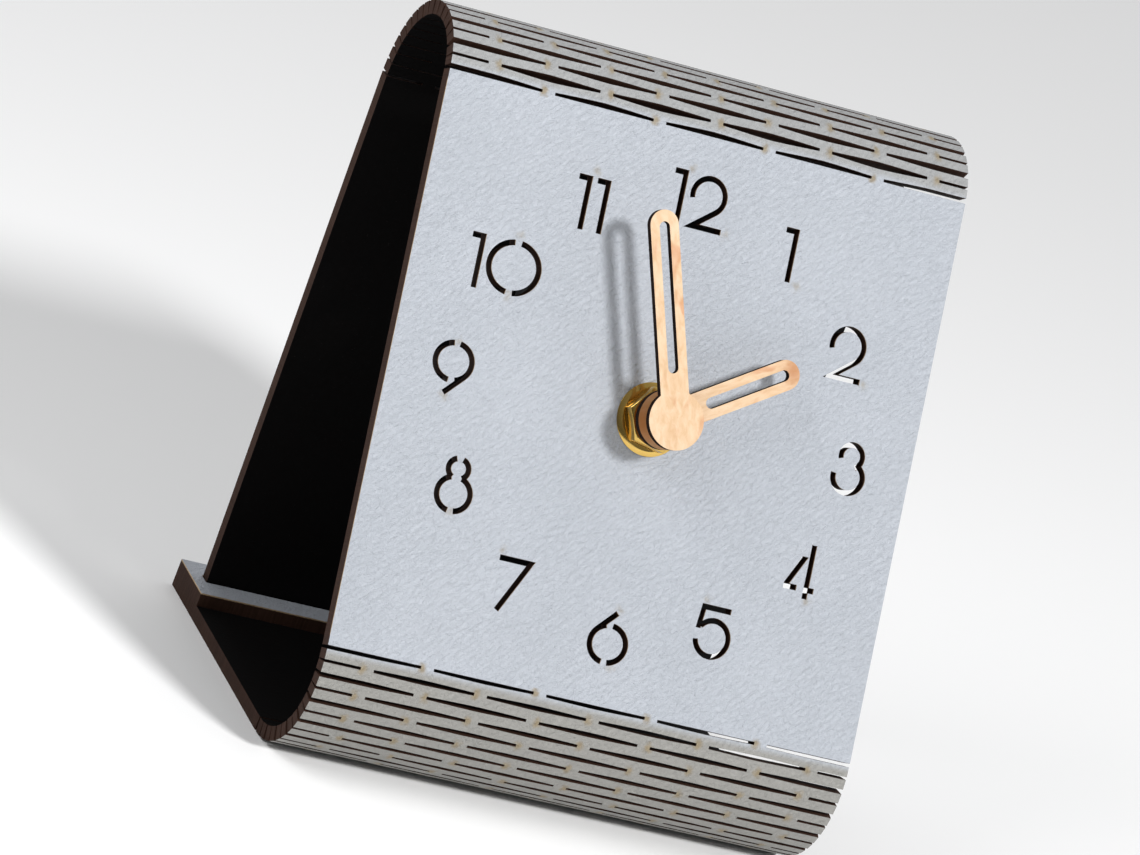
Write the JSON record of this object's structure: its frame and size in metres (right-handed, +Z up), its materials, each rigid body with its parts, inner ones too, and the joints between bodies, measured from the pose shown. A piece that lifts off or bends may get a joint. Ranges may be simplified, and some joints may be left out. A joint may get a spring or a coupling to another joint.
{
  "type": "table clock",
  "caption": "Table clock folded from one board with slit bends into a leaning dial, a base and an upright back, with stencil numerals, slotted wooden hands and a quartz movement.",
  "frame": {"origin": "centre of the bounding box at the underside of the base", "axes": "+Z up, the dial faces -Y and leans back, +X to the right along the width as seen from behind the dial towards +Y, which is the right-hand side for someone who reads the dial"},
  "size_m": [0.125, 0.094, 0.1532],
  "materials": {
    "painted_board": "silver-grey painted board with a fine leathery grain, black inside, charred cut edges",
    "hand_wood": "light maple-coloured wood, charred edges",
    "brass": "polished",
    "steel": "plain",
    "black_plastic": "moulded",
    "grey_plastic": "moulded",
    "rubber": "soft",
    "circuit_green": "board",
    "copper": "enamelled wire",
    "battery_sleeve": null,
    "magnet": "sintered magnet on a pinion"
  },
  "bodies": {
    "housing": {"bent_sheet": "painted_board", "rear_bar": "painted_board", "dial_washer": "brass", "dial_nut": "brass", "threaded_bushing": "brass", "rubber_gasket": "rubber", "movement_front_case": "black_plastic", "movement_rear_case": "black_plastic", "gear_plate": "grey_plastic", "battery": "battery_sleeve", "contact_positive": "steel", "contact_negative": "steel", "circuit_board": "circuit_green", "quartz_crystal": "steel", "motor_coil": "copper", "motor_stator": "steel"},
    "minute_group": {"cannon_pinion": "grey_plastic", "minute_hand_bush": "brass", "minute_hand": "hand_wood"},
    "hour_group": {"hour_wheel": "grey_plastic", "hour_hand_bush": "brass", "hour_hand": "hand_wood"},
    "seconds_group": {"seconds_wheel": "grey_plastic"},
    "third_group": {"third_wheel": "grey_plastic"},
    "minute_wheel_group": {"minute_wheel": "grey_plastic"},
    "intermediate_group": {"intermediate_wheel": "grey_plastic"},
    "rotor_group": {"motor_rotor": "magnet"},
    "motion_group": {"motion_wheel": "grey_plastic"},
    "knob_group": {"setting_knob": "grey_plastic"}
  },
  "joints": [
    {"name": "minute_turn", "type": "hinge", "parent": "housing", "child": "minute_group", "pos_m": [-0.0006, -0.00789, 0.08202], "axis": [0, 0.9135, -0.4067], "continuous": true},
    {"name": "hour_turn", "type": "hinge", "parent": "housing", "child": "hour_group", "pos_m": [-0.0006, -0.01246, 0.08406], "axis": [0, 0.9135, -0.4067], "continuous": true},
    {"name": "seconds_turn", "type": "hinge", "parent": "housing", "child": "seconds_group", "pos_m": [-0.0006, -0.00515, 0.0808], "axis": [0, 0.9135, -0.4067], "continuous": true},
    {"name": "minute_wheel_turn", "type": "hinge", "parent": "housing", "child": "minute_wheel_group", "pos_m": [-0.0006, -0.00789, 0.08202], "axis": [0, 0.9135, -0.4067], "continuous": true},
    {"name": "third_turn", "type": "hinge", "parent": "housing", "child": "third_group", "pos_m": [-0.00839, -0.00515, 0.08573], "axis": [0, 0.9135, -0.4067], "continuous": true},
    {"name": "intermediate_turn", "type": "hinge", "parent": "housing", "child": "intermediate_group", "pos_m": [0.00572, -0.00208, 0.08524], "axis": [0, 0.9135, -0.4067], "continuous": true},
    {"name": "rotor_turn", "type": "hinge", "parent": "housing", "child": "rotor_group", "pos_m": [0.01309, -0.00155, 0.08643], "axis": [0, 0.9135, -0.4067], "continuous": true},
    {"name": "motion_turn", "type": "hinge", "parent": "housing", "child": "motion_group", "pos_m": [0.00564, -0.00826, 0.08613], "axis": [0, 0.9135, -0.4067], "continuous": true},
    {"name": "knob_turn", "type": "hinge", "parent": "housing", "child": "knob_group", "pos_m": [0.01084, -0.0053, 0.07802], "axis": [0, 0.9135, -0.4067], "continuous": true}
  ],
  "couplings": [
    {"joint": "hour_turn", "follows": "minute_turn", "ratio": 0.083333},
    {"joint": "motion_turn", "follows": "minute_turn", "ratio": -0.33333},
    {"joint": "knob_turn", "follows": "minute_turn", "ratio": 0.66667},
    {"joint": "third_turn", "follows": "seconds_turn", "ratio": -0.13333},
    {"joint": "minute_wheel_turn", "follows": "seconds_turn", "ratio": 0.016667},
    {"joint": "intermediate_turn", "follows": "seconds_turn", "ratio": -4},
    {"joint": "rotor_turn", "follows": "seconds_turn", "ratio": 30}
  ]
}
